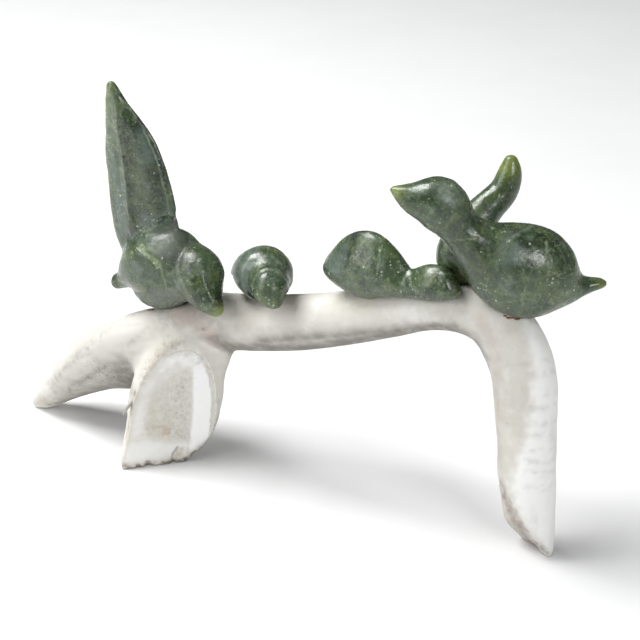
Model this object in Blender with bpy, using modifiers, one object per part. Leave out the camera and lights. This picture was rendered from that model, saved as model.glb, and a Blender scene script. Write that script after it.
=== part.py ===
"""Five small carved stone birds sitting on an antler that stands on three feet.

Blender 4.5, metres, +Z up. The antler and the birds are free forms. Each is drawn as oval sections
strung on a bent line, in per cent of a length of its own, so one length sets the size of each form.
"""

import math

import bmesh
import bpy
import numpy as np
from mathutils import Matrix, Vector
from mathutils.bvhtree import BVHTree

# Driving sizes, in metres
ANTLER_SPAN = 0.350              # from the tip of the back tine to the outside of the right leg
RAISED_WING_BIRD_LENGTH = 0.084  # each bird's length is what its own rows are drawn in
SMALL_BIRD_LENGTH = 0.058
HUNCHED_BIRD_LENGTH = 0.094
LARGE_BIRD_LENGTH = 0.122
CALLING_BIRD_LENGTH = 0.078
SEAT_GAP = 0.0003                # clearance between a bird's hollowed seat and the antler
BIRD_GAP = 0.0010                # least clearance between one bird and the next

PERCENT = 0.01
RING_SIDES = 24                  # points round a section
STEPS = 3                        # rings from one drawn row to the next
ANTLER_DETAIL = 0.8              # mesh size of the antler's skin, per cent of its length
ANTLER_SOFTENING = 10            # smoothing passes over the joins of its limbs
ANTLER_TRIANGLES = 4000          # about so many are left once its skin is thinned
BIRD_DETAIL = 1.6                # the same three for a bird
BIRD_SOFTENING = 6
LARGE_BIRD_TRIANGLES = 1200
CALLING_BIRD_TRIANGLES = 1000
HUNCHED_BIRD_TRIANGLES = 900
SMALL_BIRD_TRIANGLES = 800
RAISED_WING_BIRD_TRIANGLES = 1350

# The antler: x, y, z of each section, its half height and half width, per cent of ANTLER_SPAN.
# Each limb also has the direction of its sections' width.
BEAM_ACROSS = (0.466, 0.885, 0.0)
BEAM_AND_LEG = (
    (-21.5, 17.8, 28.0, 5.8, 4.5),
    (-12.7, 13.8, 29.6, 5.5, 4.5),
    (-3.6, 9.4, 31.9, 5.3, 4.6),
    (4.4, 5.7, 34.6, 5.0, 4.5),
    (12.0, 1.4, 38.0, 4.6, 4.5),
    (18.6, -2.3, 41.0, 4.2, 4.6),
    (24.1, -5.7, 42.3, 4.2, 4.6),
    (28.5, -8.3, 41.5, 5.0, 4.4),
    (31.7, -10.3, 38.4, 5.9, 4.1),
    (33.7, -12.0, 33.5, 5.9, 3.8),
    (34.3, -13.1, 27.0, 5.6, 3.6),
    (34.8, -14.0, 20.0, 5.4, 3.5),
    (35.2, -14.6, 12.6, 5.3, 3.4),
    (36.0, -14.6, 6.0, 4.7, 3.4),
    (36.8, -14.6, 1.0, 4.0, 3.6),
    (37.2, -14.6, -4.0, 3.6, 3.6),
)
TINE_ACROSS = (0.35, -0.55, 0.75)
BACK_TINE = (
    (-14.0, 14.0, 30.0, 4.4, 5.0),
    (-21.2, 17.4, 26.8, 5.0, 7.4),
    (-29.2, 21.0, 21.5, 6.0, 10.2),
    (-36.5, 24.6, 16.9, 5.2, 9.9),
    (-42.9, 28.0, 13.0, 4.2, 8.0),
    (-49.2, 31.2, 7.8, 3.4, 5.6),
    (-54.7, 33.6, 2.6, 2.3, 3.2),
    (-58.2, 35.0, 0.2, 1.2, 1.4),
)
FRONT_LEG_ACROSS = (-0.25, 0.968, 0.0)
FRONT_LEG = (
    (-20.0, 18.5, 28.8, 5.0, 4.6),
    (-22.4, 16.9, 24.8, 7.0, 5.2),
    (-25.2, 15.3, 19.8, 8.0, 5.4),
    (-26.7, 14.6, 14.4, 8.8, 5.4),
    (-28.3, 14.0, 8.4, 8.5, 5.2),
    (-31.5, 13.2, 2.6, 6.3, 4.9),
    (-33.6, 12.8, -2.5, 5.0, 4.6),
)
FRONT_LEG_SQUARENESS = 2.7
# Flat cuts in the antler: a point on each, per cent of ANTLER_SPAN, the direction that it faces, the
# way its height runs, and its cutter's width, height and depth, per cent of ANTLER_SPAN
FLOOR_CUT = ((0.0, 0.0, 0.0), (0.0, 0.0, -1.0), (0.0, 1.0, 0.0), (400.0, 400.0, 100.0))
BROKEN_TOE_CUT = ((39.6, -17.4, 0.0), (-0.63, -0.44, -0.64), (0.0, 0.0, 1.0), (60.0, 60.0, 20.0))
# The front leg was sawn through at a slant, which left a long oval
SAWN_OVAL_CUT = ((-32.0, 11.7, 0.0), (0.234, -0.970, -0.064), (28.0, 1.1, 86.0), (19.6, 52.0, 20.0))
BLOCK_SIDES = 4
OVAL_SIDES = 48
CUTTER_FLARE = 1.2               # a cutter's far end, against its near end

# A bird's rows run from its tail to its beak: forward, left, up, half height, half width, per cent of
# its length, from the point where it sits on the antler
LARGE_BIRD = (
    (-46.6, 0, 8.6, 1.4, 1.8),
    (-44.6, 0, 9.2, 2.8, 3.6),
    (-40.6, 0, 9.2, 3.2, 4.6),
    (-36.0, 0, 8.2, 4.6, 5.8),
    (-30.5, 0, 8.6, 9.8, 9.2),
    (-24.0, 0, 10.6, 17.0, 13.6),
    (-15.5, 0, 13.2, 22.0, 16.8),
    (-4.5, 0, 17.0, 22.8, 17.8),
    (6.0, 0, 22.8, 19.4, 16.0),
    (13.0, 0, 27.8, 14.2, 13.0),
    (18.8, 0, 33.0, 10.8, 10.8),
    (24.0, 0, 38.4, 9.8, 9.9),
    (33.2, 0, 49.4, 13.2, 11.4),
    (44.8, 0, 52.0, 8.0, 8.0),
    (51.0, 0, 54.6, 4.2, 4.6),
    (55.8, 0, 57.0, 1.3, 1.4),
)
CALLING_BIRD = (
    (-52.0, 0, 11.0, 3.0, 4.0),
    (-44.0, 0, 11.5, 5.0, 6.0),
    (-34.0, 0, 13.0, 11.5, 11.0),
    (-20.0, 0, 15.0, 17.5, 15.0),
    (-5.0, 0, 17.0, 20.5, 16.5),
    (5.0, 0, 25.0, 19.5, 16.5),
    (1.6, 0, 38.0, 16.6, 14.5),
    (-7.4, 0, 51.0, 14.6, 13.4),
    (-18.2, 0, 62.0, 12.4, 12.0),
    (-28.0, 0, 71.5, 11.0, 10.8),
    (-31.6, 0, 82.0, 10.0, 9.6),
    (-32.3, 0, 91.5, 7.4, 7.2),
    (-32.0, 0, 98.8, 3.6, 3.6),
)
HUNCHED_BIRD = (
    (-33.6, 0, 12.6, 3.2, 4.2),
    (-30.5, 0, 13.0, 7.6, 8.4),
    (-24.5, 0, 14.0, 12.8, 11.4),
    (-15.0, 0, 16.4, 18.8, 13.8),
    (-4.0, 0, 20.2, 22.8, 14.4),
    (4.0, 0, 21.6, 23.4, 14.4),
    (13.0, 0, 20.6, 19.2, 13.6),
    (22.0, 0, 18.6, 14.0, 12.0),
    (31.0, 0, 17.4, 9.4, 8.8),
    (40.0, 0, 20.0, 10.8, 10.6),
    (49.0, 0, 23.0, 12.4, 11.8),
    (57.0, 0, 23.2, 10.8, 10.4),
    (63.4, 0, 21.4, 6.8, 7.0),
    (68.0, 0, 20.0, 2.6, 3.0),
)
SMALL_BIRD = (
    (-58.6, -2.8, 7.2, 1.8, 2.2),
    (-50.5, -1.3, 11.7, 6.4, 7.4),
    (-38.1, 0.0, 17.1, 14.6, 15.6),
    (-21.6, -0.1, 22.0, 24.8, 24.8),
    (-3.6, 0.3, 26.2, 31.0, 30.5),
    (8.8, -0.1, 28.0, 29.4, 29.0),
    (18.3, -5.8, 27.9, 22.0, 22.0),
    (27.8, -11.5, 26.7, 20.6, 20.8),
    (34.6, -15.9, 22.4, 18.0, 18.4),
    (39.8, -17.2, 16.6, 13.0, 13.6),
    (43.2, -17.8, 11.7, 8.4, 9.0),
    (44.3, -18.0, 8.0, 4.4, 4.8),
)
RAISED_WING_BIRD = (
    (-46.8, 0, 10.5, 5.0, 5.6),
    (-43.5, 0, 11.5, 6.8, 7.4),
    (-35.0, 0, 16.0, 8.0, 9.0),
    (-24.0, 0, 25.0, 18.5, 17.0),
    (-9.0, 0, 32.5, 29.0, 22.0),
    (8.0, 0, 36.5, 30.0, 22.5),
    (20.0, -1.0, 35.6, 26.6, 20.8),
    (27.5, -2.5, 36.4, 22.4, 19.6),
    (34.2, -5.0, 36.9, 19.8, 18.8),
    (38.7, -9.5, 30.7, 18.0, 17.8),
    (45.2, -12.9, 23.7, 13.4, 13.8),
    (50.4, -14.7, 19.5, 10.0, 10.4),
    (54.8, -15.8, 15.7, 6.8, 7.2),
    (58.4, -16.3, 12.1, 3.2, 3.6),
)
# The rough block that was left under its body to sit on
RAISED_WING_BASE = (
    (-24.0, 0, 12.0, 8.0, 9.0),
    (-12.0, 0, 12.0, 14.0, 14.0),
    (4.0, 0, 13.0, 14.0, 14.0),
    (18.0, 0, 14.0, 8.0, 9.0),
)
# The raised wings run upwards as one blade: half height is half of its breadth, half width is half of
# its thickness
RAISED_WINGS = (
    (-8.6, 0, 38.0, 25.6, 10.0),
    (-13.4, 0, 55.0, 28.8, 9.5),
    (-15.6, 0, 75.0, 30.2, 9.0),
    (-18.0, 0, 98.0, 28.2, 8.2),
    (-24.0, 0, 126.0, 24.0, 6.8),
    (-32.4, 0, 151.0, 13.0, 5.0),
    (-38.6, 0, 173.0, 3.4, 2.2),
)
WING_SQUARENESS = 1.6            # under 2 sharpens the blade's edges
WING_LEAN = 0.4                  # its ridge lies towards the back edge
HUNCHED_PINCH = 0.35             # the hunched bird's back is peaked like a tent

# Where each bird sits: x, y per cent of ANTLER_SPAN, and the direction that it faces in degrees
# from +X
LARGE_BIRD_SEAT = (30.3, -10.0, 180)
CALLING_BIRD_SEAT = (24.3, -2.3, 200)
HUNCHED_BIRD_SEAT = (8.3, 1.4, -37)
SMALL_BIRD_SEAT = (-10.0, 12.2, -52)
RAISED_WING_BIRD_SEAT = (-28.3, 17.6, -27)
LEFT = (0, 1, 0)                 # a bird's own left


def smooth_rows(rows):
    """The drawn rows with STEPS rings from each to the next, on a Catmull-Rom curve."""
    rows = np.array(rows, float)
    padded = np.vstack([2 * rows[0] - rows[1], rows, 2 * rows[-1] - rows[-2]])
    rings = []
    for i in range(len(rows) - 1):
        a, b, c, d = padded[i:i + 4]
        for k in range(STEPS):
            t = k / STEPS
            rings.append(0.5 * (2 * b + (c - a) * t + (2 * a - 5 * b + 4 * c - d) * t ** 2
                                + (3 * b - a - 3 * c + d) * t ** 3))
    rings.append(rows[-1])
    return np.array(rings)


def loft(name, rows, length, across, squareness=2.0, lean=0.0, pinch=0.0):
    """A closed skin over oval sections strung on a bent line.

    Every section stands square to the line, with its width as near to the direction across as that
    allows. Squareness 2 is an ellipse. Lean moves the widest place along the height, and pinch narrows
    the upper half.
    """
    rings = smooth_rows(rows) * length * PERCENT
    centres = rings[:, :3]
    tangents = np.gradient(centres, axis=0)
    bm = bmesh.new()
    hoops = []
    for centre, tangent, (half_height, half_width) in zip(centres, tangents, rings[:, 3:5]):
        along = Vector(tangent).normalized()
        side = Vector(across)
        side = (side - side.dot(along) * along).normalized()
        lift = along.cross(side)
        hoop = []
        for k in range(RING_SIDES):
            angle = 2 * math.pi * k / RING_SIDES
            cos, sin = math.cos(angle), math.sin(angle)
            wide = math.copysign(abs(cos) ** (2 / squareness), cos)
            high = math.copysign(abs(sin) ** (2 / squareness), sin)
            narrowed = wide * (1 - pinch * max(0.0, high))
            shifted = high - lean * (1 - abs(high)) * abs(wide)
            point = Vector(centre) + side * half_width * narrowed + lift * half_height * shifted
            hoop.append(bm.verts.new(point))
        hoops.append(hoop)
    for lower, upper in zip(hoops, hoops[1:]):
        for k in range(RING_SIDES):
            after = (k + 1) % RING_SIDES
            bm.faces.new((lower[k], lower[after], upper[after], upper[k]))
    for hoop in (hoops[0], hoops[-1]):
        bm.faces.new(hoop)
    bmesh.ops.recalc_face_normals(bm, faces=bm.faces)
    mesh = bpy.data.meshes.new(name)
    bm.to_mesh(mesh)
    bm.free()
    return mesh


def add_object(name, mesh, where, parent, material=None):
    obj = bpy.data.objects.new(name, mesh)
    where.objects.link(obj)
    obj.parent = parent
    if material:
        mesh.materials.clear()
        mesh.materials.append(material)
    return obj


def evaluated_mesh(obj):
    """A plain mesh of the object as its modifiers leave it."""
    bpy.context.view_layer.update()
    mesh = bpy.data.meshes.new_from_object(obj.evaluated_get(bpy.context.evaluated_depsgraph_get()))
    mesh.name = obj.name
    return mesh


def fused(name, shells, guides, detail, softening, triangles):
    """One skin over closed shells, with softened joins, thinned to about so many triangles."""
    bm = bmesh.new()
    for shell in shells:
        bm.from_mesh(shell)
    mesh = bpy.data.meshes.new(name)
    bm.to_mesh(mesh)
    bm.free()
    draft = add_object(name + "_shells", mesh, guides, None)
    remesh = draft.modifiers.new("One skin", "REMESH")
    remesh.mode = "VOXEL"
    remesh.voxel_size = detail
    soften = draft.modifiers.new("Soft joins", "SMOOTH")
    soften.iterations = softening
    full = evaluated_mesh(draft)
    full.calc_loop_triangles()
    thin = draft.modifiers.new("Fewer faces", "DECIMATE")
    thin.ratio = min(1.0, triangles / len(full.loop_triangles))
    made = evaluated_mesh(draft)
    made.name = name
    bpy.data.objects.remove(draft)
    return made


def add_cutter(name, mesh, guides, parent=None):
    obj = add_object(name, mesh, guides, parent)
    obj.hide_render = True
    obj.display_type = "WIRE"
    return obj


def subtract(obj, cutter, label):
    cut = obj.modifiers.new(label, "BOOLEAN")
    cut.operation = "DIFFERENCE"
    cut.solver = "EXACT"
    cut.object = cutter


def prism(name, sides, cut, guides):
    """A cutter that takes away what lies in front of a flat cut."""
    point, facing, up, size = cut
    bm = bmesh.new()
    bmesh.ops.create_cone(bm, cap_ends=True, segments=sides, radius1=0.5, radius2=0.5 * CUTTER_FLARE,
                          depth=1.0)
    bmesh.ops.translate(bm, verts=bm.verts, vec=(0, 0, 0.5))
    bmesh.ops.scale(bm, verts=bm.verts, vec=Vector(size) * PERCENT * ANTLER_SPAN)
    out = Vector(facing).normalized()
    right = Vector(up).cross(out).normalized()
    turn = Matrix((right, out.cross(right), out)).transposed().to_4x4()
    bm.transform(Matrix.Translation(Vector(point) * PERCENT * ANTLER_SPAN) @ turn)
    mesh = bpy.data.meshes.new(name)
    bm.to_mesh(mesh)
    bm.free()
    return add_cutter(name, mesh, guides)


def clearance(obj, gap, guides):
    """A cutter a little larger all round than the object."""
    grown = add_cutter(obj.name + "_clearance", obj.data.copy(), guides, obj.parent)
    grown.location = obj.location
    grown.rotation_euler = obj.rotation_euler
    grow = grown.modifiers.new("Gap", "DISPLACE")
    grow.mid_level = 0
    grow.strength = gap
    return grown


def build_antler(work, guides, middle, material):
    limbs = [
        loft("beam_and_leg", BEAM_AND_LEG, ANTLER_SPAN, BEAM_ACROSS),
        loft("back_tine", BACK_TINE, ANTLER_SPAN, TINE_ACROSS),
        loft("front_leg", FRONT_LEG, ANTLER_SPAN, FRONT_LEG_ACROSS, FRONT_LEG_SQUARENESS),
    ]
    skin = fused("antler", limbs, guides, ANTLER_DETAIL * PERCENT * ANTLER_SPAN, ANTLER_SOFTENING,
                 ANTLER_TRIANGLES)
    uncut = add_object("uncut_antler", skin, guides, None)
    subtract(uncut, prism("floor", BLOCK_SIDES, FLOOR_CUT, guides), "Feet")
    subtract(uncut, prism("toe", BLOCK_SIDES, BROKEN_TOE_CUT, guides), "Broken toe")
    subtract(uncut, prism("saw", OVAL_SIDES, SAWN_OVAL_CUT, guides), "Sawn face")
    antler = add_object("antler", evaluated_mesh(uncut), work, middle, material)
    bpy.data.objects.remove(uncut)
    return antler


def build_birds(work, guides, middle, antler, material):
    """Each bird is carved alone, then set on the antler and hollowed to sit on it."""
    wings = loft("wings", RAISED_WINGS, RAISED_WING_BIRD_LENGTH, LEFT, WING_SQUARENESS, WING_LEAN)
    base = loft("base", RAISED_WING_BASE, RAISED_WING_BIRD_LENGTH, LEFT)
    birds = (
        ("large_bird", LARGE_BIRD, LARGE_BIRD_LENGTH, LARGE_BIRD_SEAT, 0.0, [], LARGE_BIRD_TRIANGLES),
        ("calling_bird", CALLING_BIRD, CALLING_BIRD_LENGTH, CALLING_BIRD_SEAT, 0.0, [],
         CALLING_BIRD_TRIANGLES),
        ("hunched_bird", HUNCHED_BIRD, HUNCHED_BIRD_LENGTH, HUNCHED_BIRD_SEAT, HUNCHED_PINCH, [],
         HUNCHED_BIRD_TRIANGLES),
        ("small_bird", SMALL_BIRD, SMALL_BIRD_LENGTH, SMALL_BIRD_SEAT, 0.0, [], SMALL_BIRD_TRIANGLES),
        ("raised_wing_bird", RAISED_WING_BIRD, RAISED_WING_BIRD_LENGTH, RAISED_WING_BIRD_SEAT, 0.0,
         [wings, base], RAISED_WING_BIRD_TRIANGLES),
    )
    tree = BVHTree.FromObject(antler, bpy.context.evaluated_depsgraph_get())
    keep_clear = [clearance(antler, SEAT_GAP, guides)]
    for name, rows, length, (x, y, heading), pinch, added, triangles in birds:
        shells = [loft("body", rows, length, LEFT, pinch=pinch)] + added
        skin = fused(name, shells, guides, BIRD_DETAIL * PERCENT * length, BIRD_SOFTENING, triangles)
        bird = add_object(name, skin, work, middle, material)
        above = Vector((x * PERCENT * ANTLER_SPAN, y * PERCENT * ANTLER_SPAN, ANTLER_SPAN))
        bird.location = tree.ray_cast(above, Vector((0, 0, -1)))[0]
        bird.rotation_euler.z = math.radians(heading)
        for other in keep_clear:
            subtract(bird, other, "Clear of " + other.name)
        keep_clear.append(clearance(bird, BIRD_GAP, guides))


def centre_on_feet(middle, work):
    """Moves everything so that the origin is under the middle of the whole, on the floor."""
    bpy.context.view_layer.update()
    corners = [obj.matrix_world @ Vector(corner) for obj in work.objects for corner in obj.bound_box]
    low = [min(corner[axis] for corner in corners) for axis in range(3)]
    high = [max(corner[axis] for corner in corners) for axis in range(3)]
    middle.location = (-(low[0] + high[0]) / 2, -(low[1] + high[1]) / 2, -low[2])
    bpy.context.view_layer.update()


def collection(name):
    made = bpy.data.collections.new(name)
    bpy.context.scene.collection.children.link(made)
    return made


def principled(name, colour, roughness):
    made = bpy.data.materials.new(name)
    made.use_nodes = True
    shader = made.node_tree.nodes["Principled BSDF"]
    shader.inputs["Base Color"].default_value = (*colour, 1)
    shader.inputs["Roughness"].default_value = roughness
    shader.inputs["Metallic"].default_value = 0
    return made


def main():
    for obj in list(bpy.data.objects):
        bpy.data.objects.remove(obj)
    guides = collection("Guides")
    work = collection("Birds on an antler")
    middle = bpy.data.objects.new("middle", None)
    guides.objects.link(middle)
    pale_antler = principled("antler", (0.80, 0.78, 0.73), 0.6)
    green_stone = principled("green_stone", (0.13, 0.20, 0.11), 0.3)
    antler = build_antler(work, guides, middle, pale_antler)
    build_birds(work, guides, middle, antler, green_stone)
    centre_on_feet(middle, work)


main()
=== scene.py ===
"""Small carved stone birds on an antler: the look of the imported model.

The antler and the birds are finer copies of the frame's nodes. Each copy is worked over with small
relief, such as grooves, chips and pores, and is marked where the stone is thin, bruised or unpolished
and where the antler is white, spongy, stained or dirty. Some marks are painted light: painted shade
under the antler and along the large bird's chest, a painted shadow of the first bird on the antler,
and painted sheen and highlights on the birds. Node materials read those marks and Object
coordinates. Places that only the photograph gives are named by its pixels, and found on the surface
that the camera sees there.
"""

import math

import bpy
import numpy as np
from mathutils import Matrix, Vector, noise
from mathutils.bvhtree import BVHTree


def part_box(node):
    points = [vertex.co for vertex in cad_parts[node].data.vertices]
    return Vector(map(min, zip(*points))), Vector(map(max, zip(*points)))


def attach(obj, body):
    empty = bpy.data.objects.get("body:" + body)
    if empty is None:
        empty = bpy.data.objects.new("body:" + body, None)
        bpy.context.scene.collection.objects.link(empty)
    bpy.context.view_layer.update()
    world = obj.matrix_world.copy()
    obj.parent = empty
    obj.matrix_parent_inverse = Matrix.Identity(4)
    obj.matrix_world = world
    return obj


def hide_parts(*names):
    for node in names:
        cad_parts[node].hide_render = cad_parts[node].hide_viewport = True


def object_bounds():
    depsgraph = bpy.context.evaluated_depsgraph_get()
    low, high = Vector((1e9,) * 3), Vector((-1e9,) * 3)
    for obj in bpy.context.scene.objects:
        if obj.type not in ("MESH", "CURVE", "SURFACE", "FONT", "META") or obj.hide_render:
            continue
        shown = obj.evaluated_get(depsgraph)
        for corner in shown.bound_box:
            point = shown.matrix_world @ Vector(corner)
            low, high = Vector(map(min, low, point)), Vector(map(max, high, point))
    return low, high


bl_info = {
    "name": "Stone birds on an antler",
    "version": (1, 0, 0),
    "blender": (4, 5, 0),
    "location": "View3D > Sidebar > Carving",
    "description": "Dresses the bird carving in polished stone and antler, and sets its stage",
    "category": "Object",
}

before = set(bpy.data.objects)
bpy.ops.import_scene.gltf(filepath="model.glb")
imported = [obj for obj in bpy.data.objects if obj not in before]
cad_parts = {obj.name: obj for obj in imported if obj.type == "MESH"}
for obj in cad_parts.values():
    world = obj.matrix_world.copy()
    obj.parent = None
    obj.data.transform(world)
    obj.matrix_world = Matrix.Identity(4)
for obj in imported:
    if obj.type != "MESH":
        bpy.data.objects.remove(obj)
CAD_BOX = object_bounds()

BODY = "root"
MM = 0.001

# The stage, in metres; each softbox has a name, a place and a width
FLOOR_WIDTH = 8.0
SOFTBOXES = (
    ("window", (-1.8, -0.7, 1.0), 1.3),
    ("overhead", (-1.0, 0.3, 1.9), 1.15),
    ("front", (1.2, -1.8, 1.2), 0.9),
)
SKY_COLOUR = (0.96, 0.98, 1.0, 1)

# The camera, as the photograph was taken
FRAME_PIXELS = 640
FOCAL_PIXELS = 1500
SENSOR_WIDTH_MM = 36.0
CAMERA_AIM = Vector((0.0209, -0.0309, 0.130))
CAMERA_DISTANCE = 0.900
CAMERA_ELEVATION = math.radians(27)
EDGE_STEPS = 8
TRACE_STEP = 3.0        # pixels between the points of a traced line

# The skins
MERGE = 0.02 * MM
SHARP_CUT = math.radians(38)
ANTLER_GRAIN = 0.85 * MM
BIRD_GRAIN = 0.6 * MM
FACET_LEVELS = 2
ANTLER_SOFTENING = 5
BIRD_SOFTENING = 8
LEAST_WEAR = 0.01       # relaxing leaves points with a smaller share alone
WOBBLE_SIZE = 4.0       # millimetres
WOBBLE_SEED = 17.0
GRAIN_STRETCH = 6.0     # length of a streak of grain over its width
UNDER_SKIN = 0.2 * MM   # where the search for thin stone starts
THIN_BLURS = 8
ROUGH_BELOW = 16 * MM
SAW_FACING = np.array((0.234, -0.970, -0.064))
SAW_POINT = np.array((-0.0911, 0.0101, 0.0))
TINE_RUN = np.array((-0.77, 0.37, -0.52))
BEAM_RUN = np.array((0.86, -0.43, 0.27))
LEG_RUN = np.array((0.06, -0.03, -1.0))

# Glue and splinter
GLUE_DROP = 0.85 * MM
GLUE_GRAIN = 0.2 * MM
GLUE_DARK = (0.13, 0.050, 0.030)
GLUE_LIGHT = (0.28, 0.150, 0.100)
SPLINTER_RADIUS = 0.9 * MM
SPLINTER_GRAY = 0.9

# Places on the antler, in the photograph's pixels
SAW_TOP_LINE = ((150, 364), (160, 357), (175, 352), (190, 350), (205, 353), (215, 361), (220, 374),
                (221, 388))
CORE = ((167, 371), (178, 366), (187, 369), (191, 374), (191, 400), (190, 420), (189, 440), (170, 441),
        (153, 439), (146, 432), (149, 415), (153, 398), (159, 382))
CORE_STEP_LINE = ((191, 368), (192, 385), (192, 405), (191, 425), (189, 441))
CORE_TOP_LINE = ((160, 380), (170, 369), (180, 366))
PITTED = ((170, 395), (178, 380), (188, 378), (190, 400), (189, 440), (170, 440), (162, 420))
RIGHT_RIM = ((193, 366), (206, 360), (219, 370), (222, 396), (214, 430), (196, 450), (188, 456),
             (190, 440), (193, 410))
TOP_RIM = ((160, 372), (168, 358), (182, 352), (200, 354), (204, 362), (192, 368), (178, 364),
           (168, 369))
LEFT_RIM = ((146, 380), (158, 378), (150, 400), (146, 420), (143, 436), (130, 440), (136, 410),
            (141, 390))
LOWER_RIM = ((130, 440), (150, 440), (189, 443), (187, 456), (172, 459), (150, 464), (122, 463))
CRACK_LINE = ((178, 447), (173, 454), (172, 459), (174, 464))
CRACK_POCKET = ((176, 448), (184, 447), (182, 455), (175, 457))
BROKEN_EDGE_LINE = ((122, 466), (132, 468), (146, 466), (158, 464), (172, 462), (184, 460), (194, 456),
                    (203, 449))
EDGE_BITE = ((148, 463), (150, 466))
YELLOW_DOTS_LINE = ((164, 344), (167, 346))
BROWN_DOTS_LINE = ((171, 346), (163, 352), (154, 358), (147, 367), (140, 380))
GRAY_DOTS_LINE = ((180, 342), (175, 346), (186, 350), (205, 362), (214, 370))
DARK_STREAK_LINES = (((186, 316), (174, 330), (166, 338)), ((215, 352), (222, 372), (220, 392)),
                     ((106, 330), (92, 343), (84, 356)), ((60, 378), (52, 388)),
                     ((150, 325), (139, 336), (126, 348)), ((178, 325), (192, 338), (206, 350)))
TINE_SPOTS = ((88, 362), (112, 366), (130, 372), (128, 386), (100, 388), (84, 380))
TINE_UNDER_LINE = ((50, 404), (66, 402), (83, 397), (98, 391), (112, 390), (131, 391))
TINE_TOP_LINE = ((52, 384), (70, 363), (90, 345), (112, 325), (135, 312))
TINE_TIP = ((34, 404), (40, 396), (48, 400), (44, 406))
CROTCH_LINE = ((135, 392), (132, 404), (129, 420), (126, 440))
ORANGE_STAIN = ((147, 431), (156, 427), (164, 430), (167, 433))
BEIGE_STAIN = ((150, 398), (152, 414), (150, 426))
ROSE_STAIN = ((181, 313), (196, 318), (208, 334), (212, 345))
ROSE_BEAM_STAIN = ((240, 322), (262, 312), (290, 304))
BROWN_BEAM_STAIN = ((340, 303), (352, 307), (364, 306))
BEAM_UNDER_LINE = ((262, 341), (300, 338), (350, 335), (400, 330), (430, 326), (455, 327))
DARK_PORE = ((203, 329), (204, 330))
LEG_WHITE = ((524, 324), (545, 322), (560, 350), (562, 420), (560, 500), (562, 562), (548, 560),
             (538, 545), (526, 528), (514, 505), (510, 482), (519, 458), (528, 436), (527, 416),
             (533, 402), (531, 388), (535, 374), (532, 360), (528, 345))
LEG_BEIGE = ((497, 330), (522, 326), (530, 350), (532, 390), (526, 430), (518, 460), (512, 480),
             (500, 470), (496, 400))
LEG_BANDS = (((531, 374), (541, 376), (553, 371)), ((529, 392), (541, 395), (552, 391)),
             ((531, 407), (543, 409), (554, 405)), ((533, 423), (544, 424), (555, 421)),
             ((529, 434), (541, 436), (552, 433)), ((532, 450), (543, 451), (555, 448)),
             ((529, 461), (541, 463), (552, 460)), ((528, 473), (540, 475), (553, 472)),
             ((527, 487), (539, 489), (551, 486)))
LEG_CRACK_LINE = ((538, 376), (546, 374), (553, 371))
LEG_CHIPPED_LINE = ((499, 484), (502, 497), (507, 510), (515, 524), (524, 536), (534, 547))
LEG_CHIP = ((503, 484), (510, 500), (518, 512), (524, 526), (533, 538), (541, 550), (530, 548),
            (516, 534), (505, 513), (499, 492))
LEG_NOTCH_LINE = ((542, 548), (545, 552), (547, 554))
LEG_LEFT_LINE = ((480, 318), (489, 335), (494, 352), (496, 380), (497, 420), (497, 460))
GLUE_LEFT = ((147, 305), (149, 306), (152, 307))
GLUE_RIGHT = ((505, 316), (509, 318), (513, 318), (517, 319), (521, 318), (525, 317))
SPLINTER = ((132, 402), (127, 408), (123, 415))
SHADED_SHOULDER_LINE = ((166, 314), (190, 318), (212, 330))
LEG_CORNER_LINE = ((502, 498), (505, 510), (508, 520), (515, 530))

# Places on the birds, in the photograph's pixels
WING_RIDGE_LINE = ((111, 88), (115, 98), (118, 112), (119, 125), (121, 138), (124, 155), (126, 175),
                   (128, 195), (130, 215), (131, 232))
WING_PANEL = ((119, 124), (120, 112), (124, 106), (130, 109), (136, 117), (143, 128), (151, 146),
              (158, 164), (163, 185), (168, 206), (170, 216), (150, 222), (136, 230), (132, 215),
              (129, 190), (126, 165), (122, 142))
WING_ARCH_LINE = ((119, 122), (120, 112), (124, 106), (130, 109), (135, 116))
WING_SIDE_LINE = ((108, 110), (110, 140), (113, 170), (118, 205), (124, 235))
WING_SHEEN_LINE = ((141, 134), (144, 147), (148, 160))
WING_MOSS_LINE = ((131, 150), (135, 172), (139, 190), (146, 205))
WING_ROOT_LINE = ((131, 238), (138, 230), (148, 225), (160, 221), (170, 217), (178, 216))
WING_SCRATCHES = (((138, 227), (146, 223)), ((147, 178), (152, 182)), ((150, 225), (158, 222)),
                  ((161, 219), (168, 217)), ((129, 100), (134, 108)), ((142, 232), (150, 229)))
HEAD_CREASE_LINE = ((190, 240), (184, 248), (179, 257), (177, 268), (178, 279), (183, 290), (190, 301))
BEAK_CREST_LINE = ((203, 262), (202, 273), (204, 284), (209, 296), (216, 306))
FLANK_CHIP = ((140, 241), (144, 245), (146, 251), (152, 255), (159, 261), (161, 266), (156, 269),
              (153, 265), (148, 258), (141, 252), (137, 247))
DARK_FLANK_LINE = ((140, 268), (150, 280))
FLANK_EDGE_LINE = ((160, 266), (162, 276), (165, 286))
CHEEK_SPECKS = ((177, 275), (179, 281), (185, 278), (190, 284))
RAISED_BASE = ((144, 300), (156, 289), (171, 289), (182, 296), (192, 306), (180, 310), (150, 309))
RAISED_SADDLE = ((150, 230), (178, 224), (190, 238), (180, 252), (170, 262), (156, 252))
SMALL_CREASE_LINE = ((252, 288), (253, 281), (258, 274), (266, 270), (274, 270), (282, 274), (288, 281),
                     (290, 287))
SMALL_SADDLE = ((232, 270), (244, 254), (258, 247), (258, 262), (250, 274), (244, 288), (236, 284))
SMALL_BACK = ((230, 272), (240, 254), (258, 244), (280, 246), (295, 262), (292, 276), (282, 269),
              (262, 266), (252, 278), (247, 292), (236, 288))
SMALL_BEAK_SPECKS = ((270, 299), (275, 304), (278, 306))
HUNCHED_STREAK_LINE = ((385, 252), (384, 264), (382, 278))
HUNCHED_EDGE_LINE = ((386, 241), (394, 253), (402, 264), (410, 270))
HUNCHED_CREASE_LINE = ((361, 250), (357, 264), (353, 273))
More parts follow.
